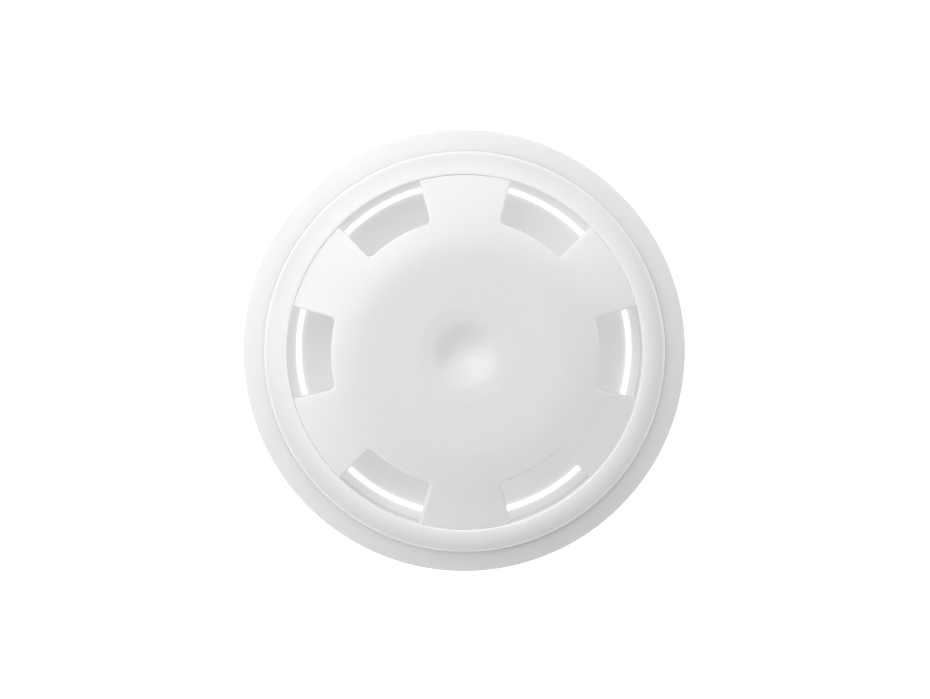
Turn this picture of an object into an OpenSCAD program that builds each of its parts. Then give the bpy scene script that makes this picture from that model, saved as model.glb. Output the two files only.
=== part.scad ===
// Compact wireless heat detector, lying on its mounting plate with its face up.
// Origin: centre of the plate's flat back. +Z runs from the ceiling face out through the cap.

/* [Overall] */
// Outside diameter of the rear housing at its widest
body_d = 65; // [62:0.5:80]
// Height from the ceiling face to the top of the cap
body_h = 38; // [37:0.5:46]
// Wall of the rear housing
wall_t = 1.8; // [1.4:0.1:2.2]

/* [Cap] */
// Skin of the push cap
cap_t = 1.5; // [1.2:0.1:1.8]
// Radius of the flat middle of the cap
cap_flat_r = 13.7; // [12:0.1:15]
// Radius that blends the flat into the sloping rim
cap_blend_r = 14; // [10:0.5:16]
// Slope of the cap's rim, in degrees
cap_slope = 30; // [24:1:34]
// Travel of the cap when it is pressed
press_travel = 0.5; // [0.3:0.05:0.7]
// Running gap between the cap and the bezel
cap_gap = 0.1; // [0.08:0.01:0.2]
// Radius of the finger dimple
dimple_r = 6.9; // [5:0.1:8]
// Depth of the shallow part of the dimple
dimple_shallow = 0.55; // [0.3:0.05:0.8]
// Extra depth of the bowl in the middle of the dimple
dimple_bowl = 1.25; // [0.8:0.05:1.4]

/* [Windows] */
// Number of air windows
window_count = 6; // [6]
// Width of each window along the rim, in degrees
window_arc = 30; // [24:1:34]
// Width of each window along the radius
window_w = 6.4; // [5.5:0.1:7]
// Corner radius at the inner end of each window
window_corner = 0.7; // [0.4:0.1:1]

/* [Bezel] */
// Width of the bezel
bezel_w = 3.4; // [3:0.1:4]
// Width of the sloping shoulder outside the bezel
shoulder_w = 3.1; // [2.8:0.1:3.6]
// Slope of the shoulder, in degrees
shoulder_slope = 46; // [40:1:48]
// Slope of the bezel's top, in degrees
bezel_slope = 26; // [22:1:28]
// Rounding of the bezel's inner lip
lip_r = 0.5; // [0.4:0.05:0.8]
// Rounding of the bezel's outer edge
edge_r = 1.2; // [0.8:0.05:1.3]
// Height of the lip above the rim of the cap
bezel_rise = 0.3; // [0.2:0.05:0.8]
// Wall of the bezel
bezel_t = 1.2; // [1:0.1:1.4]

/* [Mounting plate] */
// Thickness of the plate
plate_t = 1.8; // [1.5:0.1:2.4]
// Distance between the two screw slots
slot_spacing = 38; // [32:1:42]
// Width of a screw slot
slot_w = 4.2; // [3.6:0.1:5]
// Length of a screw slot, end to end
slot_l = 7; // [5:0.5:9]
// Bayonet lugs on the plate, and tabs in the housing
lug_count = 3; // [3]
// Width of a lug, in degrees
lug_arc = 22; // [20:1:26]
// Width of a tab, in degrees
tab_arc = 16; // [12:1:17]

/* [Inside] */
// Diameter of the lithium cell
cell_d = 17; // [15:0.5:21]
// Length of the lithium cell
cell_l = 34.5; // [27:0.5:35]
// Thickness of the main board
board_t = 1.2; // [1:0.1:1.6]
// Diameter of the sounder
sounder_d = 24; // [20:0.5:25]
// Height of the sounder
sounder_h = 8.5; // [6:0.5:10]
// Side of the square tact switch
switch_w = 6; // [5:0.5:6.5]
// Thickness of the shield's floor
floor_t = 1.1; // [0.8:0.1:1.4]
// Diameter of the wire of the return spring
spring_wire = 0.6; // [0.4:0.1:0.8]

/* [Hidden] */
$fn = 96;

// Cutting tools run past what they cut by this much.
over = 1;
// Seam between two fixed shells
seam = 0.05;
// Gap between a fixed piece and the one that it only backs
easy = 0.3;

// Radii, from the outside in
body_r = body_d / 2;
housing_back_r = body_r - 0.9;
housing_in_r = body_r - wall_t;
back_in_r = housing_back_r - wall_t;
shoulder_in_r = body_r - shoulder_w;
shoulder_edge = 0.6;
bezel_out_r = shoulder_in_r - seam;
bezel_in_r = shoulder_in_r - bezel_w;
cap_r = bezel_in_r - cap_gap;
window_in_r = bezel_in_r - window_w;

// Heights of the twist lock, from the ceiling face up
skirt_z = 0.6;
tab_z = plate_t + easy;
tab_t = 1.2;
lug_z = tab_z + tab_t + 0.2;
lug_t = 1;
lug_top = lug_z + lug_t;
back_z = lug_top + easy;
back_t = 1.4;
bay_z = back_z + back_t;

// Heights of the stack inside the head
cell_lift = 0.8;
cell_z = plate_t + cell_lift + cell_d / 2;
board_z = cell_z + cell_d / 2 + easy;
board_top = board_z + board_t;
floor_z = board_top + 0.6;
floor_top = floor_z + floor_t;
pillar_top = board_top + 0.1;

// Heights of the face
bezel_drop = 2.3;
blend_drop = cap_blend_r * (1 - cos(cap_slope));
blend_run = cap_blend_r * sin(cap_slope);
function cap_line_z(r, inset) = body_h - cap_blend_r + (cap_blend_r - inset) * cos(cap_slope)
    - (r - cap_flat_r - (cap_blend_r - inset) * sin(cap_slope)) * tan(cap_slope);
rim_z = cap_line_z(cap_r, 0);
bezel_top = rim_z + bezel_rise;
crease_z = bezel_top - bezel_drop;
widest_z = crease_z - shoulder_edge * cos(shoulder_slope)
    - (shoulder_w - shoulder_edge + shoulder_edge * sin(shoulder_slope)) * tan(shoulder_slope);
function shoulder_line_z(r) = crease_z - (r - shoulder_in_r) * tan(shoulder_slope);
shoulder_under = wall_t / cos(shoulder_slope);
outer_skirt_z = crease_z - shoulder_under - 0.6;

// Twist lock
lug_ring_out_r = bezel_out_r - 3.35;
lug_ring_in_r = lug_ring_out_r - 1.4;
lug_r = lug_ring_out_r + 2.6;
tab_in_r = lug_ring_out_r + 0.4;
plate_r = back_in_r - 0.5;
lug_turn = 20;
stop_arc = 2.4;

// Places of the fixings and the supports, in degrees
pillar_angles = [60, 180, 300];
rib_angles = [0, 120, 240];
leg_angles = [90, 210, 330];
pipe_angles = [30, 150, 270];
pillar_r = 2.9;
pillar_place_r = bezel_out_r - 1.5;
case_boss_r = 1.45;
case_shank_r = 0.8;
case_head_r = 1.6;
screw_bite = 5;
boss_top = crease_z - 0.2;
case_seat_z = board_z - 4.7;
board_screw_places = [[17.2, 12.9], [-17.2, 12.9], [0, -21.1]];
board_boss_r = 1.7;
board_shank_r = 0.8;

// Cap leg, hook and push post
leg_in_r = cap_r - 0.95;
leg_half_arc = 8;
hook_half_arc = 6;
hook_out_r = cap_r + 0.95;
hook_t = 1;
boss_r = 8.6;
boss_z = body_h - cap_t - 2.3;
post_r = 2.5;
switch_h = 3.5;
plunger_r = 1.75;
plunger_out = 1.5;
switch_top = board_top + switch_h;
post_z = switch_top + plunger_out;

// Switch turret on the shield
turret_in_r = switch_w / 2 * sqrt(2) + 0.45;
turret_out_r = turret_in_r + 1.1;
turret_top = post_z + 1.7;
post_bore_r = post_r + 0.08;

// Light ring
light_in_r = bezel_in_r - 2;
light_w = 0.7;
light_h = 0.5;
pipe_r = 0.8;
pipe_place_r = light_in_r + light_w / 2;
led_h = 0.6;

// Cell and its contacts, along X
sheet_t = 0.4;
cell_spring_l = 1.9;
cell_nub_l = 1.1;
cell_y = -11.3;
cell_x0 = (cell_spring_l - cell_l) / 2;
cell_x1 = cell_x0 + cell_l;
sleeve_t = 0.15;
contact_w = 9;

// Sounder, thermistor and board parts
sounder_place = [0, sounder_d / 2 + 1.2];
sounder_wall = 1.2;
sounder_z = board_z - sounder_h;
piezo_z = sounder_z + 4;
port_r = 2.2;
thermistor_place = 15.5 * [cos(240), sin(240)];
bead_z = floor_top + 7.2;
lead_gap = 1.2;
lead_r = 0.25;
guard_r = 2.5;
guard_post_r = 0.4;
guard_ring_w = 1.1;
guard_rise = 1.6;

function polar(r, a) = [r * cos(a), r * sin(a)];

module at(place, z = 0) {
    translate([place[0], place[1], z]) children();
}

module ring(r_in, r_out, h) {
    difference() {
        cylinder(r = r_out, h = h);
        translate([0, 0, -over]) cylinder(r = r_in, h = h + 2 * over);
    }
}

// Flat piece of a ring between two angles that are less than 120 degrees apart
module sector(r_in, r_out, a0, a1) {
    reach = 2 * r_out;
    intersection() {
        difference() {
            circle(r_out);
            circle(r_in);
        }
        polygon([[0, 0], polar(reach, a0), polar(reach, (a0 + a1) / 2), polar(reach, a1)]);
    }
}

module sector_block(r_in, r_out, a0, a1, z0, z1) {
    translate([0, 0, z0]) linear_extrude(z1 - z0) sector(r_in, r_out, a0, a1);
}

// Round wire swept along points; each ring of it lies square to the path
function path_side(p, i) = let (n = len(p), d = p[min(i + 1, n - 1)] - p[max(i - 1, 0)]) d / norm(d);
function wire_ring(p, i, r, sides, up) =
    let (d = path_side(p, i), u0 = cross(up, d), u = u0 / norm(u0), v = cross(d, u))
    [for (k = [0 : sides - 1]) p[i] + r * (cos(360 * k / sides) * u + sin(360 * k / sides) * v)];
module wire(path, r, sides = 6, up = [0, 0, 1]) {
    n = len(path);
    points = [for (i = [0 : n - 1]) each wire_ring(path, i, r, sides, up)];
    walls = [for (i = [0 : n - 2], k = [0 : sides - 1])
        let (a = i * sides + k, b = i * sides + (k + 1) % sides)
        each [[a, a + sides, b + sides], [a, b + sides, b]]];
    start = [[for (k = [0 : sides - 1]) k]];
    end = [[for (k = [sides - 1 : -1 : 0]) (n - 1) * sides + k]];
    polyhedron(points = points, faces = concat(walls, start, end));
}

// ---- Mounting plate ----

module screw_slot() {
    run = (slot_l - slot_w) / 2;
    translate([0, 0, -over]) linear_extrude(plate_t + 2 * over) union() {
        square([2 * run, slot_w], center = true);
        for (side = [-1, 1]) translate([side * run, 0]) circle(slot_w / 2);
    }
}

module plate_lug(a) {
    sector_block(lug_ring_out_r - 0.4, lug_r, a - lug_arc / 2, a + lug_arc / 2, lug_z, lug_top);
    sector_block(lug_ring_out_r - 0.4, lug_r, a - lug_arc / 2, a - lug_arc / 2 + stop_arc,
                 plate_t - 0.1, lug_z + 0.1);
}

module mounting_plate() {
    color("whitesmoke") union() {
        difference() {
            cylinder(r = plate_r, h = plate_t);
            for (side = [-1, 1]) translate([side * slot_spacing / 2, 0, 0]) screw_slot();
        }
        translate([0, 0, plate_t - 0.1]) ring(lug_ring_in_r, lug_ring_out_r, lug_top - plate_t + 0.1);
        for (k = [0 : lug_count - 1]) plate_lug(lug_turn + 360 / lug_count * k);
    }
}

// ---- Rear housing ----

// Points along an arc, from angle a0 to angle a1
function arc_points(c, r, a0, a1, n) = [for (i = [0 : n]) let (a = a0 + (a1 - a0) * i / n) c + polar(r, a)];

module housing_outline() {
    edge = [body_r - shoulder_edge, widest_z];
    polygon(concat([[0, skirt_z], [housing_back_r, skirt_z]],
        arc_points(edge, shoulder_edge, 0, 90 - shoulder_slope, 6),
        [[shoulder_in_r, crease_z], [0, crease_z]]));
}

module housing_hollow() {
    under_z = crease_z - shoulder_under;
    polygon([[0, bay_z], [back_in_r, bay_z], [housing_in_r, shoulder_line_z(housing_in_r) - shoulder_under],
             [shoulder_in_r, under_z], [shoulder_in_r, crease_z + over], [0, crease_z + over]]);
}

module housing_shell() {
    rotate_extrude() difference() {
        housing_outline();
        housing_hollow();
        translate([0, -over]) square([back_in_r, back_z + over]);
    }
}

module housing_pillar(a) {
    at(polar(pillar_place_r, a), back_z) cylinder(r = pillar_r, h = pillar_top - back_z);
}

module housing_pillar_bore(a) {
    at(polar(pillar_place_r, a), back_z - over)
        cylinder(r = case_head_r + 0.2, h = case_seat_z - back_z + over);
    at(polar(pillar_place_r, a), case_seat_z - over)
        cylinder(r = case_shank_r + 0.15, h = 2 * over + pillar_top - case_seat_z);
}

module housing_rib(a) {
    rib_in_r = bezel_in_r + 0.4;
    rotate(a) translate([rib_in_r, -0.75, bay_z - 0.1])
        cube([housing_in_r - rib_in_r + 0.4, 1.5, floor_z - bay_z + 0.1]);
}

module cell_saddles() {
    saddle_t = 1.2;
    saddle_w = cell_d + 1.6;
    difference() {
        for (x = [-9, 9]) translate([x - saddle_t / 2, cell_y - saddle_w / 2, bay_z - 0.1])
            cube([saddle_t, saddle_w, cell_z - bay_z + 0.1]);
        translate([-20, cell_y, cell_z]) rotate([0, 90, 0]) cylinder(r = cell_d / 2 + 0.15, h = 40);
    }
}

module bay_opening() {
    mouth = sqrt(pow(cell_d / 2, 2) - pow(cell_z - bay_z, 2)) + 0.35;
    translate([cell_x0 - 0.4, cell_y - mouth, back_z - over])
        cube([cell_l + 0.8, 2 * mouth, back_t + 2 * over]);
}

module rear_housing() {
    color("white") difference() {
        union() {
            housing_shell();
            for (a = pillar_angles) housing_pillar(a);
            for (a = rib_angles) housing_rib(a);
            cell_saddles();
            for (k = [0 : lug_count - 1]) let (a = lug_turn + 360 / lug_count * k)
                sector_block(tab_in_r, back_in_r + 0.5, a - tab_arc / 2, a + tab_arc / 2,
                             tab_z, tab_z + tab_t);
        }
        for (a = pillar_angles) housing_pillar_bore(a);
        bay_opening();
        // Alignment notch at the foot of the skirt
        translate([housing_back_r - 0.5, -0.6, skirt_z - over]) cube([2, 1.2, 2.6 + over]);
    }
}

// ---- Bezel ----

module bezel_outline() {
    lip = [bezel_in_r + lip_r, bezel_top - lip_r];
    knee = lip + polar(lip_r, 90 - bezel_slope);
    edge_x = bezel_out_r - edge_r;
    edge_z = knee[1] - edge_r * cos(bezel_slope)
        - (edge_x + edge_r * sin(bezel_slope) - knee[0]) * tan(bezel_slope);
    polygon(concat([[bezel_out_r, outer_skirt_z], [bezel_in_r + bezel_t, outer_skirt_z],
                    [bezel_in_r + bezel_t, floor_top], [bezel_in_r, floor_top]],
        arc_points(lip, lip_r, 180, 90 - bezel_slope, 10),
        arc_points([edge_x, edge_z], edge_r, 90 - bezel_slope, 0, 8)));
}

module bezel_section() {
    difference() {
        bezel_outline();
        translate([bezel_in_r + bezel_t, outer_skirt_z - over])
            square([bezel_out_r - bezel_in_r - 2 * bezel_t, boss_top - outer_skirt_z + over]);
    }
}

module bezel_boss(a) {
    at(polar(pillar_place_r, a), pillar_top) cylinder(r = case_boss_r, h = boss_top + 0.1 - pillar_top);
}

module bezel_ring() {
    color("white") difference() {
        union() {
            rotate_extrude() bezel_section();
            for (a = pillar_angles) bezel_boss(a);
        }
        for (a = pillar_angles) at(polar(pillar_place_r, a), pillar_top - over)
            cylinder(r = case_shank_r + seam, h = screw_bite + 0.4 + over);
    }
}

// ---- Push cap ----

// Area under the cap's skin, moved in by inset
module dome_area(inset) {
    centre = [cap_flat_r, body_h - cap_blend_r];
    knee = centre + (cap_blend_r - inset) * [sin(cap_slope), cos(cap_slope)];
    rim = cap_r + over;
    intersection() {
        translate([0, floor_top]) square([cap_r, body_h]);
        union() {
            square([cap_flat_r, body_h - inset]);
            translate(centre) circle(cap_blend_r - inset);
            polygon([[0, 0], centre, knee, [rim, cap_line_z(rim, inset)], [rim, 0]]);
        }
    }
}

// Depth of the dimple at radius r: a shallow dish, and a bowl with a flat middle and a smooth side
bowl_in_r = 0.19 * dimple_r;
bowl_out_r = 0.67 * dimple_r;
function bowl_share(r) = let (t = min(max((bowl_out_r - r) / (bowl_out_r - bowl_in_r), 0), 1))
    t * t * (3 - 2 * t);
function dimple_depth(r) = dimple_shallow * (1 - pow(r / dimple_r, 2)) + dimple_bowl * bowl_share(r);

module dimple_area() {
    steps = 24;
    polygon(concat([[0, body_h + over], [dimple_r, body_h + over]],
        [for (i = [steps : -1 : 0]) let (r = dimple_r * i / steps) [r, body_h - dimple_depth(r)]]));
}

module cap_section() {
    difference() {
        union() {
            difference() {
                dome_area(0);
                dome_area(cap_t);
            }
            translate([0, boss_z]) square([boss_r, body_h - cap_t / 2 - boss_z]);
            translate([0, post_z]) square([post_r, boss_z - post_z + 0.1]);
        }
        dimple_area();
    }
}

// Plan of a window: a ring sector with rounded inner corners, open at its outer end
module window_plan(a) {
    half = window_arc / 2;
    corner_r = window_in_r + window_corner;
    corner_a = asin(window_corner / corner_r);
    outer = cap_r + over;
    rotate(a) union() {
        sector(corner_r, outer, -half, half);
        sector(window_in_r, outer, corner_a - half, half - corner_a);
        for (side = [-1, 1]) translate(polar(corner_r, side * (half - corner_a))) circle(window_corner);
    }
}

module cap_leg(a) {
    top = cap_line_z(cap_r, cap_t) + 0.9;
    hook_top = floor_z - 0.1;
    sector_block(leg_in_r, cap_r, a - leg_half_arc, a + leg_half_arc, hook_top - hook_t, top);
    sector_block(leg_in_r, hook_out_r, a - hook_half_arc, a + hook_half_arc, hook_top - hook_t, hook_top);
}

module push_cap() {
    color("white") difference() {
        union() {
            rotate_extrude() cap_section();
            for (a = leg_angles) cap_leg(a);
        }
        for (k = [0 : window_count - 1])
            translate([0, 0, floor_top]) linear_extrude(body_h) window_plan(360 / window_count * k);
    }
}

// ---- Inner shield: floor of the air chamber ----

module shield_floor() {
    difference() {
        translate([0, 0, floor_z]) cylinder(r = bezel_in_r + bezel_t, h = floor_t);
        for (a = pillar_angles) at(polar(pillar_place_r, a), floor_z - over)
            cylinder(r = case_boss_r + 0.2, h = floor_t + 2 * over);
        for (a = leg_angles)
            sector_block(leg_in_r - 0.2, bezel_in_r, a - leg_half_arc - 1, a + leg_half_arc + 1,
                         floor_z - over, floor_top + over);
    }
}

module shield_holes() {
    translate([0, 0, floor_z - over]) cylinder(r = turret_in_r, h = turret_top - 1 - floor_z + over);
    translate([0, 0, floor_z]) cylinder(r = post_bore_r, h = turret_top - floor_z + over);
    at(sounder_place, floor_z - over) cylinder(r = port_r + 0.3, h = floor_t + 3);
    at(thermistor_place, floor_z - over) cylinder(r = 1.5, h = floor_t + 2 * over);
    for (a = pipe_angles) at(polar(pipe_place_r, a), floor_z - over)
        cylinder(r = pipe_r + 0.1, h = floor_t + 2 * over);
    for (p = board_screw_places) at(p, board_top - over) cylinder(r = board_shank_r + seam, h = 3.9 + over);
}

module thermistor_guard() {
    guard_top = bead_z + guard_rise;
    at(thermistor_place) {
        for (k = [0 : 3]) rotate(45 + 90 * k) translate([guard_r, 0, floor_top - 0.1])
            cylinder(r = guard_post_r, h = guard_top - floor_top + 0.1, $fn = 24);
        translate([0, 0, guard_top - 0.5]) ring(guard_r - guard_ring_w / 2, guard_r + guard_ring_w / 2, 1);
    }
}

module inner_shield() {
    color("white") union() {
        difference() {
            union() {
                shield_floor();
                translate([0, 0, floor_z]) cylinder(r = turret_out_r, h = turret_top - floor_z);
                at(sounder_place, floor_z) cylinder(r = port_r + 1.2, h = floor_t + 0.8);
                for (p = board_screw_places) at(p, board_top) cylinder(r = board_boss_r, h = 4.4);
            }
            shield_holes();
        }
        thermistor_guard();
    }
}

module light_ring() {
    color("ivory") union() {
        translate([0, 0, floor_top]) ring(light_in_r, light_in_r + light_w, light_h);
        for (a = pipe_angles) at(polar(pipe_place_r, a), board_top + led_h)
            cylinder(r = pipe_r, h = floor_top + light_h - board_top - led_h);
    }
}

// ---- Main board and what stands on it ----

module main_board() {
    color("darkgreen") difference() {
        translate([0, 0, board_z]) cylinder(r = bezel_in_r + 0.2, h = board_t);
        for (a = pillar_angles) at(polar(pillar_place_r, a), board_z - over)
            cylinder(r = pillar_r + 0.3, h = board_t + 2 * over);
        for (a = leg_angles)
            sector_block(leg_in_r - 0.5, bezel_in_r + over, a - leg_half_arc - 2, a + leg_half_arc + 2,
                         board_z - over, board_top + over);
        for (p = board_screw_places) at(p, board_z - over)
            cylinder(r = board_shank_r + 0.2, h = board_t + 2 * over);
        at(sounder_place, board_z - over) cylinder(r = port_r, h = board_t + 2 * over);
        for (side = [-1, 1]) at(thermistor_place + [side * lead_gap / 2, 0], board_z + board_t / 2)
            cylinder(r = lead_r + 0.1, h = board_t);
    }
}

module status_leds() {
    color("lightyellow") for (a = pipe_angles) at(polar(pipe_place_r, a), board_top)
        rotate(a) translate([-0.4, -0.8, 0]) cube([0.8, 1.6, led_h]);
}

module switch_body() {
    color("dimgray") difference() {
        translate([-switch_w / 2, -switch_w / 2, board_top]) cube([switch_w, switch_w, switch_h]);
        translate([0, 0, switch_top - 1.4]) cylinder(r = plunger_r + 0.06, h = 1.4 + over);
    }
}

module switch_terminals() {
    color("silver") for (x = [-1, 1], y = [-1, 1])
        translate([x * (switch_w / 2 + 0.4) - 0.4, y * 2.25 - 0.35, board_top]) cube([0.8, 0.7, 0.5]);
}

module switch_plunger() {
    flange_z = switch_top - 1.4 + press_travel + 0.1;
    color("black") translate([0, 0, flange_z]) cylinder(r = plunger_r, h = post_z - flange_z);
}

module return_spring() {
    turns = 6;
    steps = 16;
    mean_r = (turret_out_r + boss_r) / 2;
    low = floor_top + spring_wire / 2;
    high = boss_z - spring_wire / 2;
    coil = [for (i = [0 : turns * steps]) let (a = 360 * i / steps)
        [mean_r * cos(a), mean_r * sin(a), low + (high - low) * i / (turns * steps)]];
    color("silver") wire(coil, spring_wire / 2);
}

module thermistor_bead() {
    color("black") at(thermistor_place, bead_z) union() {
        sphere(r = 1.2);
        translate([0, 0, -2.2]) cylinder(r = 1, h = 2.2);
    }
}

module thermistor_leads() {
    color("silver") for (side = [-1, 1])
        at(thermistor_place + [side * lead_gap / 2, 0], board_z + board_t / 2)
        cylinder(r = lead_r, h = bead_z - 2.2 - board_z - board_t / 2, $fn = 24);
}

// ---- Cell and contacts ----

module along_x(x0) {
    translate([x0, cell_y, cell_z]) rotate([0, 90, 0]) children();
}

module battery_can() {
    can_r = cell_d / 2 - sleeve_t;
    color("silver") union() {
        along_x(cell_x0) cylinder(r = can_r, h = cell_l - cell_nub_l);
        along_x(cell_x1 - cell_nub_l - 0.1) cylinder(r = cell_d * 0.19, h = cell_nub_l + 0.1);
    }
}

module battery_sleeve() {
    can_r = cell_d / 2 - sleeve_t;
    color("steelblue") along_x(cell_x0 + 0.3) ring(can_r, cell_d / 2, cell_l - cell_nub_l - 0.6);
}

module contact_sheet(x) {
    bottom = cell_z - contact_w / 2;
    translate([x, cell_y - contact_w / 2, bottom]) cube([sheet_t, contact_w, board_z - bottom]);
}

module battery_contact_positive() {
    color("silver") contact_sheet(cell_x1);
}

module battery_contact_negative() {
    color("silver") contact_sheet(cell_x0 - cell_spring_l - sheet_t);
}

module battery_spring() {
    turns = 3;
    steps = 14;
    wire_r = 0.3;
    x0 = cell_x0 - cell_spring_l + wire_r;
    x1 = cell_x0 - wire_r;
    coil = [for (i = [0 : turns * steps]) let (s = i / (turns * steps), a = 360 * i / steps, r = 4 - 2 * s)
        [x0 + (x1 - x0) * s, cell_y + r * cos(a), cell_z + r * sin(a)]];
    color("silver") wire(coil, wire_r, up = [1, 0, 0]);
}

// ---- Sounder ----

module sounder_cup() {
    r = sounder_d / 2;
    ledge = 1.1;
    color("black") at(sounder_place) difference() {
        translate([0, 0, sounder_z]) cylinder(r = r, h = sounder_h);
        translate([0, 0, sounder_z + 1]) cylinder(r = r - sounder_wall - ledge, h = sounder_h);
        translate([0, 0, piezo_z]) cylinder(r = r - sounder_wall, h = sounder_h);
    }
}

module piezo_plate() {
    color("gold") at(sounder_place, piezo_z) cylinder(r = sounder_d / 2 - sounder_wall - 0.1, h = 0.3);
}

module piezo_ceramic() {
    color("ivory") at(sounder_place, piezo_z - 0.2) cylinder(r = sounder_d / 2 - 5, h = 0.2);
}

module sounder_pins() {
    color("silver") for (side = [-1, 1])
        at(sounder_place + [side * (sounder_d / 2 - sounder_wall - 0.6), 0], piezo_z + 0.3)
            cylinder(r = 0.3, h = board_z - piezo_z - 0.3, $fn = 24);
}

// ---- Parts under the board ----

module radio_board() {
    color("darkgreen") translate([13, -1.5, board_z - 0.8]) cube([10.5, 9, 0.8]);
}

module radio_can() {
    color("silver") translate([13.6, -0.9, board_z - 2.8]) cube([7.6, 7.8, 2]);
}

module antenna_strip() {
    color("silver") union() {
        translate([21.9, -0.9, board_z - 4.2]) cube([1.2, 7.8, 0.4]);
        for (y = [-0.9, 1.6]) translate([21.9, y, board_z - 4]) cube([1.2, 0.4, 3.2]);
    }
}

module microcontroller() {
    color("black") translate([-16, -1.6, board_z - 1]) cube([7, 7, 1]);
}

module reservoir_capacitor() {
    color("dimgray") at([-21, 4.5], board_z - 7) cylinder(r = 3.15, h = 7);
}

module boost_coil() {
    color("black") translate([-16.5, 6.8, board_z - 3]) cube([4.4, 4.4, 3]);
}

module chip_parts() {
    color("tan") union() {
        for (i = [0 : 3]) translate([9.2 + 0.1 * i, -2 + 0.9 * i, board_z - 0.5]) cube([1.6, 0.6, 0.5]);
        for (i = [0 : 4]) translate([-8 + 2.6 * i, -1.9, board_z - 0.5]) cube([1.6, 0.8, 0.5]);
    }
}

// ---- Fasteners ----

// Screw with its head's upper face at z = 0 and its shank going up
module screw_up(shank_r, shank_l, head_r, head_h) {
    difference() {
        union() {
            cylinder(r = shank_r, h = shank_l);
            translate([0, 0, -head_h]) cylinder(r = head_r, h = head_h);
        }
        for (a = [0, 90]) rotate(a) translate([-head_r * 0.55, -0.2, -head_h - over])
            cube([head_r * 1.1, 0.4, head_h * 0.6 + over]);
    }
}

module board_screws() {
    color("silver") for (p = board_screw_places) at(p, board_z) screw_up(board_shank_r, 4.8, 1.6, 1.1);
}

module case_screws() {
    color("silver") for (a = pillar_angles) at(polar(pillar_place_r, a), case_seat_z)
        screw_up(case_shank_r, pillar_top + screw_bite - case_seat_z, case_head_r, 1.4);
}

mounting_plate();
rear_housing();
bezel_ring();
push_cap();
inner_shield();
light_ring();
main_board();
status_leds();
switch_body();
switch_terminals();
switch_plunger();
return_spring();
thermistor_bead();
thermistor_leads();
battery_can();
battery_sleeve();
battery_contact_positive();
battery_contact_negative();
battery_spring();
sounder_cup();
piezo_plate();
piezo_ceramic();
sounder_pins();
radio_board();
radio_can();
antenna_strip();
microcontroller();
reservoir_capacitor();
boost_coil();
chip_parts();
board_screws();
case_screws();
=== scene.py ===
"""Looks for the heat detector.

Finishes for every CAD node, three remodelled pieces, a pale floor, studio light and the camera.
"""

import math

import bpy
from mathutils import Matrix, Vector


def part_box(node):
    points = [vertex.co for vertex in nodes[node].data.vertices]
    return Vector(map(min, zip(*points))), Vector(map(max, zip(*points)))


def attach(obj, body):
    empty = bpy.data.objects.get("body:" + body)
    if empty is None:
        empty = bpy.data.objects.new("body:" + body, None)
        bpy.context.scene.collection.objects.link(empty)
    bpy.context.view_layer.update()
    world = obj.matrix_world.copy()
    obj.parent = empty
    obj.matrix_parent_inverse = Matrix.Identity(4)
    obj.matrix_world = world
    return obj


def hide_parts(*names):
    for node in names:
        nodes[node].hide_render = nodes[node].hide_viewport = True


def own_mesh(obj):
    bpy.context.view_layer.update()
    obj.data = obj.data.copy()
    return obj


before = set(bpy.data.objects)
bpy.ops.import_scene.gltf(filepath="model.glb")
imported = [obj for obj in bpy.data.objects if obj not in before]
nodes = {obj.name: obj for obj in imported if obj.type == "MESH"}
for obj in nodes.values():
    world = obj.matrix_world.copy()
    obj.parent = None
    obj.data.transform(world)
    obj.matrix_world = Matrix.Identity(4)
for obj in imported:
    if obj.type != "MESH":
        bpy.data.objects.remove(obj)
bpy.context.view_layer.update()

MM = 0.001

# ---- Sizes repeated from the CAD, in mm ----
CAP_TOP = 38.0
CAP_T = 1.5
FLAT_R = 13.7
BLEND_R = 14.0
SLOPE = math.radians(30)
CAP_R = 25.9
WINDOW_IN_R = 19.6
WINDOW_HALF = math.radians(15)
CORNER = 0.7
WINDOWS = 6
DIMPLE_R = 6.9
BOSS_R, BOSS_Z = 8.6, 34.2
POST_R = 2.5
FLOOR_TOP = 22.8
LEG_IN_R = CAP_R - 0.95
HOOK_OUT_R = CAP_R + 0.95
HOOK_T = 1.0
LEG_HALF, HOOK_HALF = math.radians(8), math.radians(6)
HOUSING_WALL = 1.8
SHOULDER_SLOPE = math.radians(46)

box_low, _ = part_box("push_cap")
LEG_BOTTOM = box_low.z / MM
_, box_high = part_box("switch_plunger")
POST_Z = box_high.z / MM

# ---- Node helpers: a value is a number, a colour or another node's output ----
WHITE_LIGHT = (1, 1, 1, 1)
# The middle of a noise's range, which holds nearly all of its values
MIDDLE = (0.3, 0.7)
# The colour sockets of a Mix node share their names with its other kinds, so they go by number
MIX_A, MIX_B, MIX_RESULT = 6, 7, 2


def new_material(name):
    m = bpy.data.materials.new(name)
    m.use_nodes = True
    return m, m.node_tree, m.node_tree.nodes["Principled BSDF"]


def give(tree, socket, value):
    if isinstance(value, bpy.types.NodeSocket):
        tree.links.new(value, socket)
    else:
        socket.default_value = value


def node(tree, kind, output, inputs, **settings):
    """Add a node with its settings and inputs, and return one of its outputs."""
    made = tree.nodes.new(kind)
    for key, value in settings.items():
        setattr(made, key, value)
    for key, value in inputs.items():
        give(tree, made.inputs[key], value)
    return made.outputs[output]


def place(tree):
    return node(tree, "ShaderNodeTexCoord", "Object", {})


def height(tree):
    return node(tree, "ShaderNodeSeparateXYZ", "Z", {"Vector": place(tree)})


def from_axis(tree):
    """Distance from the object's upright axis."""
    inputs = {0: place(tree), 1: (1, 1, 0)}
    flat = node(tree, "ShaderNodeVectorMath", "Vector", inputs, operation="MULTIPLY")
    return node(tree, "ShaderNodeVectorMath", "Value", {0: flat}, operation="LENGTH")


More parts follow.
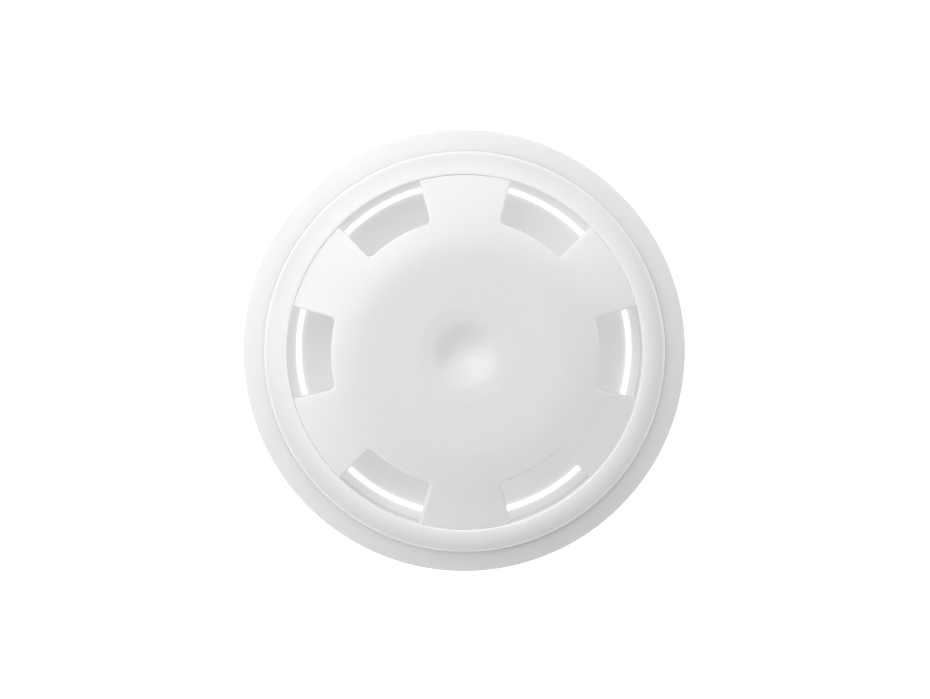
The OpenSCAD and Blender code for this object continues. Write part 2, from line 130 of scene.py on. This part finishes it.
def carry(tree, value, start, end, low, high):
    """Carry value from the range start to end over to low to high, and hold it there."""
    inputs = {"Value": value, "From Min": start, "From Max": end, "To Min": low, "To Max": high}
    return node(tree, "ShaderNodeMapRange", "Result", inputs)


def for_camera(tree, lit, seen):
    """A strength that lights the scene with lit, and that the camera sees as seen."""
    ray = node(tree, "ShaderNodeLightPath", "Is Camera Ray", {})
    return carry(tree, ray, 0, 1, lit, seen)


def noise(tree, scale, detail=3.0, roughness=0.5, stretch=None):
    """Noise in object coordinates, with its scale in features per metre."""
    where = place(tree)
    if stretch:
        where = node(tree, "ShaderNodeMapping", "Vector", {"Vector": where, "Scale": stretch})
    inputs = {"Vector": where, "Scale": scale, "Detail": detail, "Roughness": roughness}
    return node(tree, "ShaderNodeTexNoise", "Fac", inputs)


def ramp(tree, value, stops):
    """Colours at the stops, which are pairs of a position and a colour."""
    made = tree.nodes.new("ShaderNodeValToRGB")
    elements = made.color_ramp.elements
    while len(elements) < len(stops):
        elements.new(0.5)
    for element, (position, colour) in zip(elements, stops):
        element.position = position
        element.color = (*colour, 1)
    give(tree, made.inputs["Fac"], value)
    return made.outputs["Color"]


def grey(value):
    return (value, value, value)


# ---- Materials ----
PATCH_SCALE = 60.0
GLOSS_SCALE = 7 * PATCH_SCALE
GRAIN_STRENGTH = 0.25
IOR = 1.46
SOFT_RADIUS = (1.0, 0.9, 0.8)
SOFT_SCALE = 0.8 * MM

# Painted glow in the face at each radius, standing in for the lit ring's light through the plastic, and the
# heights where it fades in, in mm
HALO = ((15.0, 0.0), (22.0, 0.05), (24.4, 0.07), (26.5, 0.1), (28.6, 0.0))
HALO_END = 30.0
HALO_LOW, HALO_HIGH = 29.0, 31.0

# Heights in mm where the painted shade on the housing's wall under the shoulder fades into the face's tone
WALL_LOW, WALL_HIGH = 26.6, 28.2
WALL_SHADE_TONE = 0.74


def surface(name, low, high, rough, grain, depth, metal=0.0, stretch=None, coat=0.0, soft=0.0, glow=0.0):
    """Colour from low to high in broad patches, a range of roughness, and a fine grain, depth mm deep."""
    m, tree, shader = new_material(name)
    colour = ramp(tree, noise(tree, PATCH_SCALE, detail=4.0), ((MIDDLE[0], low), (MIDDLE[1], high)))
    fine = noise(tree, grain, detail=2.0, roughness=0.6, stretch=stretch)
    relief = {"Height": fine, "Strength": GRAIN_STRENGTH, "Distance": depth * MM}
    inputs = {
        "Base Color": colour,
        "Roughness": carry(tree, noise(tree, GLOSS_SCALE), *MIDDLE, *rough),
        "Normal": node(tree, "ShaderNodeBump", "Normal", relief),
        "Metallic": metal,
        "IOR": IOR,
        "Coat Weight": coat,
    }
    if soft:
        inputs["Subsurface Weight"] = soft
        inputs["Subsurface Radius"] = SOFT_RADIUS
        inputs["Subsurface Scale"] = SOFT_SCALE
    if glow:
        inputs["Emission Color"] = WHITE_LIGHT
        inputs["Emission Strength"] = glow
    for key, value in inputs.items():
        give(tree, shader.inputs[key], value)
    return m


def moulded(name):
    return surface(name, grey(0.775), grey(0.79), (0.36, 0.44), 5200, 0.02, soft=0.6)


def paint_glow_round_ring(m):
    """Painted glow in the moulding round the lit ring under it, standing in for its light through the
    plastic, by distance from the axis and by height.
    """
    tree = m.node_tree
    reach = {0: from_axis(tree), 1: HALO_END * MM}
    share = node(tree, "ShaderNodeMath", "Value", reach, operation="DIVIDE")
    light = ramp(tree, share, [(radius / HALO_END, grey(level)) for radius, level in HALO])
    rise = carry(tree, height(tree), HALO_LOW * MM, HALO_HIGH * MM, 0, 1)
    both = node(tree, "ShaderNodeMath", "Value", {0: light, 1: rise}, operation="MULTIPLY")
    shader = tree.nodes["Principled BSDF"]
    give(tree, shader.inputs["Emission Color"], WHITE_LIGHT)
    give(tree, shader.inputs["Emission Strength"], both)


def paint_wall_shade(m):
    """Paint shade on the wall under the shoulder: take the colour down to WALL_SHADE_TONE there, by height.
    """
    tree = m.node_tree
    base = tree.nodes["Principled BSDF"].inputs["Base Color"]
    tone = carry(tree, height(tree), WALL_LOW * MM, WALL_HIGH * MM, WALL_SHADE_TONE, 1)
    inputs = {"Factor": 1.0, MIX_A: base.links[0].from_socket, MIX_B: tone}
    mixed = node(tree, "ShaderNodeMix", MIX_RESULT, inputs, data_type="RGBA", blend_type="MULTIPLY")
    give(tree, base, mixed)


# Housing white, with painted shade on its wall under the shoulder
WHITE = moulded("moulded_white_wall_shade")
paint_wall_shade(WHITE)
# The face of the cap and the bezel, with a painted glow round the lit ring
GLOWING_FACE = moulded("moulded_face_painted_glow")
paint_glow_round_ring(GLOWING_FACE)
PLATE = surface("plate_white", (0.74, 0.74, 0.735), (0.77, 0.77, 0.765), (0.42, 0.5), 4200, 0.03)
# The inner shield is coloured grey with a painted glow, which together stand in for the dim, even light
# seen through the windows
SHIELD_GLOW = surface("shield_grey_painted_glow", grey(0.4), grey(0.43), (0.4, 0.48), 5200, 0.02, glow=0.44)
LIGHT = surface("light_guide", grey(0.93), grey(0.96), (0.12, 0.2), 3000, 0.01, glow=1.0)
BOARD = surface("board_green", (0.012, 0.09, 0.035), (0.02, 0.13, 0.05), (0.25, 0.35), 1500, 0.04, coat=0.3)
LED = surface("led_resin", (0.9, 0.86, 0.62), (0.95, 0.92, 0.75), (0.08, 0.15), 2500, 0.01)
DARK = surface("dark_plastic", (0.018, 0.018, 0.019), (0.03, 0.03, 0.031), (0.4, 0.55), 4000, 0.04)
RESIN = surface("dark_resin", grey(0.012), (0.022, 0.021, 0.02), (0.2, 0.3), 2500, 0.02, coat=0.2)
TIN = surface("tinned_steel", (0.66, 0.66, 0.67), (0.75, 0.75, 0.76), (0.22, 0.34), 3500, 0.02, metal=1.0)
SPRING = surface("nickel_steel", (0.58, 0.57, 0.55), (0.66, 0.65, 0.63), (0.2, 0.32), 6000, 0.02, metal=1.0)
CAN = surface("bright_can", (0.7, 0.7, 0.72), (0.8, 0.8, 0.82), (0.18, 0.3), 3000, 0.02, metal=1.0)
SLEEVE = surface("cell_sleeve", (0.03, 0.09, 0.24), (0.045, 0.12, 0.3), (0.16, 0.26), 900, 0.05, coat=0.4)
BRASS = surface("rolled_brass", (0.72, 0.52, 0.22), (0.8, 0.6, 0.28), (0.24, 0.34), 2600, 0.03, metal=1.0,
                stretch=(0.05, 1, 1))
CERAMIC = surface("fired_ceramic", (0.62, 0.55, 0.42), (0.72, 0.65, 0.52), (0.45, 0.6), 3500, 0.04)

FINISH = {
    WHITE: ("rear_housing", "bezel_ring", "push_cap"),
    PLATE: ("mounting_plate",),
    SHIELD_GLOW: ("inner_shield",),
    LIGHT: ("light_ring",),
    BOARD: ("main_board", "radio_board"),
    LED: ("status_leds",),
    DARK: ("switch_body", "switch_plunger", "sounder_cup"),
    RESIN: ("thermistor_bead", "microcontroller", "boost_coil"),
    TIN: ("switch_terminals", "thermistor_leads", "sounder_pins", "radio_can", "antenna_strip"),
    SPRING: ("return_spring", "battery_contact_positive", "battery_contact_negative", "battery_spring",
             "board_screws", "case_screws"),
    CAN: ("battery_can", "reservoir_capacitor"),
    SLEEVE: ("battery_sleeve",),
    BRASS: ("piezo_plate",),
    CERAMIC: ("piezo_ceramic", "chip_parts"),
}
for finish, names in FINISH.items():
    for name in names:
        for holder in nodes[name].material_slots:
            holder.material = finish

# ---- CAD nodes: joined facets, and edges softened by a width in mm ----
EDGE = {"rear_housing": 0.03, "mounting_plate": 0.2, "inner_shield": 0.1, "light_ring": 0.08,
        "switch_body": 0.12, "radio_can": 0.15, "microcontroller": 0.1, "boost_coil": 0.3,
        "sounder_cup": 0.2, "reservoir_capacitor": 0.3, "battery_can": 0.3}
WELD_DISTANCE = 0.0015
BEVEL_ANGLE = math.radians(40)


def soften(obj, width):
    weld = obj.modifiers.new("join", "WELD")
    weld.merge_threshold = WELD_DISTANCE * MM
    if width:
        bevel = obj.modifiers.new("edge", "BEVEL")
        bevel.width = width * MM
        bevel.segments = 2
        bevel.limit_method = "ANGLE"
        bevel.angle_limit = BEVEL_ANGLE
        bevel.miter_outer = "MITER_ARC"


for name, obj in nodes.items():
    soften(obj, EDGE.get(name, 0))

# ---- Mesh helpers ----
MOULDING_ANGLE = math.radians(28)


class Mesh:
    """Verts and faces of one piece, in mm."""

    def __init__(self):
        self.verts = []
        self.faces = []

    def add(self, r, angle, z, centre=(0.0, 0.0)):
        self.verts.append((centre[0] + r * math.cos(angle), centre[1] + r * math.sin(angle), z))
        return len(self.verts) - 1

    def fan(self, middle, ring, flip=False):
        """Triangles from a middle vert to a ring."""
        for a, b in zip(ring, ring[1:] + ring[:1]):
            self.faces.append((middle, b, a) if flip else (middle, a, b))

    def band(self, inner, outer, flip=False):
        """Faces between two rings."""
        pairs = list(zip(inner, outer))
        for (a, b), (next_a, next_b) in zip(pairs, pairs[1:] + pairs[:1]):
            face = (a, b, next_b, next_a)
            self.faces.append(face[::-1] if flip else face)

    def wrap(self, section, following):
        """Faces from one closed section of a form to the next."""
        for k in range(len(section)):
            m = (k + 1) % len(section)
            self.faces.append((section[k], section[m], following[m], following[k]))

    def revolve(self, profile, count, centre=(0.0, 0.0)):
        """A closed profile of (r, z), listed clockwise, turned round an upright axis."""
        turns = [2 * math.pi * i / count for i in range(count)]
        sections = [[self.add(r, a, z, centre) for r, z in profile] for a in turns]
        for section, following in zip(sections, sections[1:] + sections[:1]):
            self.wrap(section, following)


def make_object(name, mesh, material, body, replaced, angle=MOULDING_ANGLE):
    data = bpy.data.meshes.new(name)
    data.from_pydata([Vector(v) * MM for v in mesh.verts], [], mesh.faces)
    data.validate()
    data.materials.append(material)
    for p in data.polygons:
        p.use_smooth = True
    data.set_sharp_from_angle(angle=angle)
    obj = bpy.data.objects.new(name, data)
    bpy.context.scene.collection.objects.link(obj)
    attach(obj, body)
    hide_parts(replaced)
    return obj


def steps(start, size, count):
    return [start + size * i for i in range(count)]


def arc(centre, radius, start, stop, parts):
    """Points (r, z) of an arc, both ends included."""
    angles = [start + (stop - start) * i / parts for i in range(parts + 1)]
    return [(centre[0] + radius * math.cos(a), centre[1] + radius * math.sin(a)) for a in angles]


# ---- Push cap: the form of its faces ----
# The dimple is a shallow dish with a bowl in it
DISH_DEPTH = 0.35
BOWL_DEPTH = 1.45
BOWL_IN_R = 0.4
BOWL_OUT_R = 5.2
# Rounding of the windows' edges and of the cap's rim, which reaches a little past the CAD's
EDGE_R = 0.35
RIM_R = 0.06
SKIN_R = CAP_R + 0.06

WINDOW_STEP = 2 * math.pi / WINDOWS
CORNER_R = WINDOW_IN_R + CORNER
CORNER_A = math.asin(CORNER / CORNER_R)
CORNER_END_R = CORNER_R * math.cos(CORNER_A)


def cap_z(r, inset=0.0):
    """Height of the cap's skin at radius r, moved in by inset, without the dimple."""
    radius = BLEND_R - inset
    centre_z = CAP_TOP - BLEND_R
    if r <= FLAT_R:
        return CAP_TOP - inset
    knee = radius * math.sin(SLOPE)
    if r <= FLAT_R + knee:
        return centre_z + math.sqrt(radius ** 2 - (r - FLAT_R) ** 2)
    return centre_z + radius * math.cos(SLOPE) - (r - FLAT_R - knee) * math.tan(SLOPE)


def dimple(r):
    """Depth of the dimple at radius r."""
    if r >= DIMPLE_R:
        return 0.0
    t = min(max((BOWL_OUT_R - r) / (BOWL_OUT_R - BOWL_IN_R), 0.0), 1.0)
    return DISH_DEPTH * (1 - (r / DIMPLE_R) ** 2) + BOWL_DEPTH * t * t * (3 - 2 * t)


def half_angle(r):
    """Half the angle that a window spans at radius r."""
    if r <= WINDOW_IN_R:
        return WINDOW_HALF - CORNER_A
    if r >= CORNER_END_R:
        return WINDOW_HALF
    cos_b = (r * r + CORNER_R ** 2 - CORNER ** 2) / (2 * r * CORNER_R)
    return WINDOW_HALF - CORNER_A + math.acos(min(1.0, cos_b))


def window_distance(r, a):
    """Distance from a point outside the windows to the nearest one."""
    a = abs((a + WINDOW_STEP / 2) % WINDOW_STEP - WINDOW_STEP / 2)
    x, y = r * math.cos(a), r * math.sin(a)
    best = math.hypot(x - CORNER_R * math.cos(WINDOW_HALF - CORNER_A),
                      y - CORNER_R * math.sin(WINDOW_HALF - CORNER_A)) - CORNER
    if a <= WINDOW_HALF - CORNER_A:
        best = min(best, WINDOW_IN_R - r)
    if a >= WINDOW_HALF and r * math.cos(a - WINDOW_HALF) >= CORNER_END_R:
        best = min(best, r * math.sin(a - WINDOW_HALF))
    return max(best, 0.0)


def rounding(distance, radius):
    """How far a rounded edge has dropped at a distance from it."""
    if distance >= radius:
        return 0.0
    return radius - math.sqrt(radius ** 2 - (radius - distance) ** 2)


def top_z(r, a):
    """Height of the upper face, with its dimple and its rounded edges."""
    return cap_z(r) - dimple(r) - rounding(window_distance(r, a), EDGE_R) - rounding(SKIN_R - r, RIM_R)


# ---- Push cap: its mesh, a grid of rings and angles ----
EDGE_STEPS = [EDGE_R * (1 - math.cos(math.radians(a))) for a in (0, 18, 36, 54, 72, 90)]
# Parts across the middle of a spoke and across a window, and the plain strip next to a spoke's edge
SPOKE_PARTS = 8
WINDOW_PARTS = 10
STRIP = 1.0
# Radii of the upper face: close together in the dimple, then wider, then close at the windows
UPPER_RADII = steps(0.25, 0.25, 30) + steps(8.2, 0.6, 9) + steps(FLAT_R, 0.45, 11)
UPPER_RADII += [WINDOW_IN_R - 0.9] + [WINDOW_IN_R - d for d in reversed(EDGE_STEPS)]
# Profile (r, z) of the under face: the post, the boss round it, then the hollow dome
UNDER_PROFILE = [
    (POST_R - 0.25, POST_Z), (POST_R, POST_Z + 0.25), (POST_R, BOSS_Z - 0.4), (POST_R + 0.4, BOSS_Z),
    (BOSS_R - 0.2, BOSS_Z), (BOSS_R, BOSS_Z + 0.2),
    (BOSS_R, CAP_TOP - CAP_T - 0.3), (BOSS_R + 0.3, CAP_TOP - CAP_T),
]
UNDER_PROFILE += [(r, cap_z(r, CAP_T)) for r in (11.0, FLAT_R, 15.2, 16.7, 18.2, WINDOW_IN_R)]
# Radii of the spokes: through the windows' corners, along the spoke, then round the rim
SPOKE_RADII = [WINDOW_IN_R + CORNER * share for share in (0.05, 0.16, 0.32, 0.52, 0.75)]
SPOKE_RADII += [CORNER_END_R] + steps(21.2, 1.1, 4)
SPOKE_RADII += [SKIN_R - share * RIM_R for share in (1.0, 0.62, 0.29, 0.08, 0.0)]
# Spokes that carry a guide leg, and the parts across a leg
LEG_SPOKES = (1, 3, 5)
LEG_PARTS = 8
LEG_RISE = 0.5
HOOK_LAP = 0.4
SINK = 0.01


def spoke_angles(r, centre):
    """Angles of the grid across one spoke at radius r, close together at its edges."""
    a0 = half_angle(r) - WINDOW_STEP / 2
    left = [a0 + d / r for d in EDGE_STEPS + [STRIP]]
    inner = [left[-1] + (-2 * left[-1]) * i / SPOKE_PARTS for i in range(1, SPOKE_PARTS)]
    return [centre + a for a in left + inner + [-x for x in reversed(left)]]


def ring_angles():
    """Angles round the whole cap, spoke then window, and the index where each spoke starts."""
    angles, starts = [], []
    for k in range(WINDOWS):
        spoke = spoke_angles(WINDOW_IN_R, WINDOW_STEP * (k + 0.5))
        starts.append(len(angles))
        angles += spoke
        window = WINDOW_STEP * (k + 1.5) + half_angle(WINDOW_IN_R) - WINDOW_STEP / 2 - spoke[-1]
        angles += [spoke[-1] + window * i / WINDOW_PARTS for i in range(1, WINDOW_PARTS)]
    return angles, starts


def upper_face(mesh, angles):
    """The face from the middle out to the windows. Returns its outer ring."""
    rings = [[mesh.add(r, a, top_z(r, a)) for a in angles] for r in UPPER_RADII]
    mesh.fan(mesh.add(0, 0, top_z(0, 0)), rings[0])
    for inner, outer in zip(rings, rings[1:]):
        mesh.band(inner, outer)
    return rings[-1]


def under_face(mesh, angles):
    """The under side from the end of the post out to the windows. Returns its outer ring."""
    rings = [[mesh.add(r, a, z) for a in angles] for r, z in UNDER_PROFILE]
    mesh.fan(mesh.add(0, 0, POST_Z), rings[0], flip=True)
    for inner, outer in zip(rings, rings[1:]):
        mesh.band(inner, outer, flip=True)
    return rings[-1]


def window_wall(mesh, top_edge, low_edge, start, stop):
    """The wall of one window on the side of the axis, between two places on the rings."""
    around = len(top_edge)
    for i in range(start, stop):
        a, b = i % around, (i + 1) % around
        mesh.faces.append((top_edge[a], low_edge[a], low_edge[b], top_edge[b]))


def spoke(mesh, middle, up, down):
    """One spoke, from the ends of the two faces out to the rim."""
    across = range(len(up) - 1)
    for r in SPOKE_RADII:
        row = spoke_angles(r, middle)
        new_up = [mesh.add(r, a, top_z(r, a)) for a in row]
        new_down = [mesh.add(r, a, cap_z(r, CAP_T)) for a in row]
        for i in across:
            mesh.faces.append((up[i], new_up[i], new_up[i + 1], up[i + 1]))
            mesh.faces.append((down[i], down[i + 1], new_down[i + 1], new_down[i]))
        mesh.faces.append((up[0], down[0], new_down[0], new_up[0]))
        mesh.faces.append((up[-1], new_up[-1], new_down[-1], down[-1]))
        up, down = new_up, new_down
    for i in across:
        mesh.faces.append((up[i], down[i], down[i + 1], up[i + 1]))


def curved_block(mesh, middle, half, in_r, out_r, low, high):
    """A block bent round the axis, half an angle to each side of middle. Its faces point inwards."""
    base = len(mesh.verts)
    for i in range(LEG_PARTS + 1):
        a = middle + half * (2 * i / LEG_PARTS - 1)
        for r, z in ((in_r, low), (out_r, low), (out_r, high), (in_r, high)):
            mesh.add(r, a, z)
    for i in range(LEG_PARTS):
        for j in range(4):
            a, b = base + 4 * i + j, base + 4 * i + (j + 1) % 4
            mesh.faces.append((a, b, b + 4, a + 4))
    mesh.faces.append((base + 3, base + 2, base + 1, base))
    end = base + 4 * LEG_PARTS
    mesh.faces.append((end, end + 1, end + 2, end + 3))


def guide_leg(mesh, middle):
    """One guide leg under the rim, and its hook."""
    leg_top = cap_z(CAP_R, CAP_T) + LEG_RISE
    curved_block(mesh, middle, LEG_HALF, LEG_IN_R, CAP_R - SINK, LEG_BOTTOM, leg_top)
    hook_low, hook_top = LEG_BOTTOM + SINK, LEG_BOTTOM + HOOK_T
    curved_block(mesh, middle, HOOK_HALF, CAP_R - HOOK_LAP, HOOK_OUT_R, hook_low, hook_top)


def build_cap():
    mesh = Mesh()
    angles, starts = ring_angles()
    top_edge = upper_face(mesh, angles)
    low_edge = under_face(mesh, angles)
    spoke_count = len(spoke_angles(WINDOW_IN_R, 0))
    for start, next_start in zip(starts, starts[1:] + [len(angles)]):
        window_wall(mesh, top_edge, low_edge, start + spoke_count - 1, next_start)
    for k, start in enumerate(starts):
        span = slice(start, start + spoke_count)
        spoke(mesh, WINDOW_STEP * (k + 0.5), top_edge[span], low_edge[span])
    for k in LEG_SPOKES:
        guide_leg(mesh, WINDOW_STEP * (k + 0.5))
    return mesh


make_object("push_cap_moulding", build_cap(), GLOWING_FACE, "cap", "push_cap")

# ---- Bezel, in mm: its outer rings and screw bosses from the CAD, its top rounder than the CAD's ----
BEZEL_IN_R = 26.0
BEZEL_OUT_R = 29.35
BEZEL_WALL = 1.2
BEZEL_RISE = 0.3
BEZEL_DROP = 2.3
BEZEL_STEPS = 256
RIM_Z = cap_z(CAP_R)
CREASE_R = 29.39
CREASE_Z = RIM_Z + BEZEL_RISE - BEZEL_DROP
CREASE_TUCK = 0.1
SKIRT_DROP = 0.6
SKIRT_Z = CREASE_Z - HOUSING_WALL / math.cos(SHOULDER_SLOPE) - SKIRT_DROP
# The lip next to the cap, the slope that grows from it, and the rolled edge at the crease
LIP_R = 0.25
LIP_Z = RIM_Z + 0.14
LIP_LEAD = 0.3
SLOPE_IN = math.radians(8)
SLOPE_OUT = math.radians(36)
SLOPE_PARTS = 8
EDGE_ROLL = 1.1
INNER_WALL_HEIGHTS = (FLOOR_TOP, 26.0, 30.0, LIP_Z - LIP_R - LIP_LEAD)
# Bosses for the screws of the housing, with a bore right through
BOSS_ANGLES = (60, 180, 300)
BOSS_PLACE_R = BEZEL_OUT_R - 1.5
BOSS_TOP = CREASE_Z - 0.2
BOSS_LAP = 0.1
BOSS_FOOT = 21.2
BOSS_STEPS = 32
SCREW_BOSS_R = 1.45
BORE_R = 0.85


def bezel_profile():
    """The bezel's section, clockwise from the foot of its inner wall."""
    points = [(BEZEL_IN_R, z) for z in INNER_WALL_HEIGHTS]
    points += arc((BEZEL_IN_R + LIP_R, LIP_Z - LIP_R), LIP_R, math.pi, math.pi / 2 - SLOPE_IN, 8)
    r, z = points[-1]
    roll_r = CREASE_R - EDGE_ROLL + EDGE_ROLL * math.sin(SLOPE_OUT)
    step = (roll_r - r) / SLOPE_PARTS
    for i in range(SLOPE_PARTS):
        slope = SLOPE_IN + (SLOPE_OUT - SLOPE_IN) * (i + 0.5) / SLOPE_PARTS
        r, z = r + step, z - step * math.tan(slope)
        points.append((r, z))
    centre = (CREASE_R - EDGE_ROLL, z - EDGE_ROLL * math.cos(SLOPE_OUT))
    points += arc(centre, EDGE_ROLL, math.pi / 2 - SLOPE_OUT, 0, 10)[1:]
    points += [(CREASE_R, CREASE_Z), (BEZEL_OUT_R, CREASE_Z - CREASE_TUCK), (BEZEL_OUT_R, SKIRT_Z)]
    points += [(BEZEL_OUT_R - BEZEL_WALL, SKIRT_Z), (BEZEL_OUT_R - BEZEL_WALL, BOSS_TOP)]
    points += [(BEZEL_IN_R + BEZEL_WALL, BOSS_TOP), (BEZEL_IN_R + BEZEL_WALL, FLOOR_TOP)]
    return points


def build_bezel():
    mesh = Mesh()
    mesh.revolve(bezel_profile(), BEZEL_STEPS)
    top = BOSS_TOP + BOSS_LAP
    boss = [(BORE_R, BOSS_FOOT), (BORE_R, top), (SCREW_BOSS_R, top), (SCREW_BOSS_R, BOSS_FOOT)]
    for angle in BOSS_ANGLES:
        a = math.radians(angle)
        mesh.revolve(boss, BOSS_STEPS, (BOSS_PLACE_R * math.cos(a), BOSS_PLACE_R * math.sin(a)))
    return mesh


make_object("bezel_moulding", build_bezel(), GLOWING_FACE, "head", "bezel_ring")

# ---- Return spring, in mm ----
COIL_TURNS = 6
COIL_STEPS = 36
COIL_R = 7.2
WIRE_R = 0.3
WIRE_SIDES = 12
WIRE_ANGLE = math.radians(60)


def coil_points():
    """The middle line of the wire, from the chamber's floor up to the cap's boss."""
    low, high = FLOOR_TOP + WIRE_R, BOSS_Z - WIRE_R
    count = COIL_TURNS * COIL_STEPS
    points = []
    for i in range(count + 1):
        a = 2 * math.pi * i / COIL_STEPS
        z = low + (high - low) * (i / count)
        points.append(Vector((COIL_R * math.cos(a), COIL_R * math.sin(a), z)))
    return points


def build_wire(points):
    """A round wire along points, closed at both ends."""
    mesh = Mesh()
    last = len(points) - 1
    turns = [2 * math.pi * k / WIRE_SIDES for k in range(WIRE_SIDES)]
    sections = []
    for i, p in enumerate(points):
        along = (points[min(i + 1, last)] - points[max(i - 1, 0)]).normalized()
        u = Vector((0, 0, 1)).cross(along).normalized()
        v = along.cross(u)
        first = len(mesh.verts)
        mesh.verts += [p + WIRE_R * (math.cos(a) * u + math.sin(a) * v) for a in turns]
        sections.append(range(first, first + WIRE_SIDES))
    for section, following in zip(sections, sections[1:]):
        mesh.wrap(section, following)
    mesh.faces.append(tuple(reversed(sections[0])))
    mesh.faces.append(tuple(sections[-1]))
    return mesh


coil = make_object("return_coil", build_wire(coil_points()), SPRING, "head", "return_spring",
                   angle=WIRE_ANGLE)
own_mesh(coil)

# ---- Floor, in metres: it gives FLOOR_GLOW, and the camera sees it brighten with distance ----
FLOOR_SIZE = 6
FLOOR_ROUGHNESS = 0.9
FLOOR_GLOW = 0.75
SEEN_NEAR, SEEN_FAR = 0.75, 1.05
NEAR_R, FAR_R = 0.05, 0.3


def floor_material():
    m, tree, shader = new_material("pale_floor")
    colour = ramp(tree, noise(tree, 3.0), ((MIDDLE[0], grey(0.9)), (MIDDLE[1], grey(0.92))))
    seen = carry(tree, from_axis(tree), NEAR_R, FAR_R, SEEN_NEAR, SEEN_FAR)
    give(tree, shader.inputs["Base Color"], colour)
    give(tree, shader.inputs["Roughness"], FLOOR_ROUGHNESS)
    give(tree, shader.inputs["Emission Color"], WHITE_LIGHT)
    give(tree, shader.inputs["Emission Strength"], for_camera(tree, FLOOR_GLOW, seen))
    return m


bpy.ops.mesh.primitive_plane_add(size=FLOOR_SIZE, location=(0, 0, 0))
floor = bpy.context.object
floor.name = "floor"
floor.data.materials.append(floor_material())

# ---- Lights, in metres and degrees ----
WORLD_STRENGTH = 0.1
BACKDROP = 1.0
LIGHT_DISTANCE = 0.5
LIGHT_SIZE = 0.28
AIM = Vector((0, 0, 0.03))
# name, direction round the object from +X, height above the horizon, power
LIGHTS = [
    ("key_high", 135, 58, 0.696),
    ("key_low", 135, 32, 0.336),
    ("side_left", 180, 32, 0.763),
    ("low_left", 225, 32, 0.098),
    ("near", 270, 32, 0.291),
    ("low_right", 315, 32, 0.41),
    ("far_right", 45, 32, 0.672),
    ("far_low", 90, 32, 0.217),
    ("far_high", 90, 58, 0.281),
]


def studio_world():
    """A white backdrop that gives less light than the camera sees."""
    world = bpy.data.worlds.new("studio")
    world.use_nodes = True
    tree = world.node_tree
    background = tree.nodes["Background"]
    give(tree, background.inputs["Color"], WHITE_LIGHT)
    give(tree, background.inputs["Strength"], for_camera(tree, WORLD_STRENGTH, BACKDROP))
    return world


def area_light(name, azimuth, elevation, power):
    """A round lamp that faces AIM and that the camera doesn't see."""
    data = bpy.data.lights.new(name, "AREA")
    data.shape = "DISK"
    data.size = LIGHT_SIZE
    data.energy = power
    obj = bpy.data.objects.new(name, data)
    a, e = math.radians(azimuth), math.radians(elevation)
    away = Vector((math.cos(e) * math.cos(a), math.cos(e) * math.sin(a), math.sin(e)))
    obj.location = AIM + away * LIGHT_DISTANCE
    obj.rotation_euler = (AIM - obj.location).to_track_quat("-Z", "Y").to_euler()
    obj.visible_camera = False
    bpy.context.scene.collection.objects.link(obj)


bpy.context.scene.world = studio_world()
for row in LIGHTS:
    area_light(*row)

# ---- Camera: above the object, nearly square on to its face ----
TILT_UP = math.radians(2.55)
TILT_LEFT = math.radians(0.95)
DISTANCE = 1.2
TARGET = Vector((0.1, 0.19, 28.2)) * MM
WIDTH_SEEN = 136.6 * MM
SENSOR = 36.0
CLIP_END = 20


def add_camera():
    data = bpy.data.cameras.new("camera")
    data.sensor_width = SENSOR
    data.lens = SENSOR * DISTANCE / WIDTH_SEEN
    data.clip_end = CLIP_END
    obj = bpy.data.objects.new("camera", data)
    back = Vector((-math.sin(TILT_LEFT), math.sin(TILT_UP), math.cos(TILT_UP))).normalized()
    right = Vector((0, 1, 0)).cross(back).normalized()
    up = back.cross(right)
    obj.location = TARGET + back * DISTANCE
    obj.rotation_euler = Matrix((right, up, back)).transposed().to_euler()
    bpy.context.scene.collection.objects.link(obj)
    bpy.context.scene.camera = obj


add_camera()
bpy.context.scene.view_settings.view_transform = "Standard"
bpy.context.scene.view_settings.look = "None"
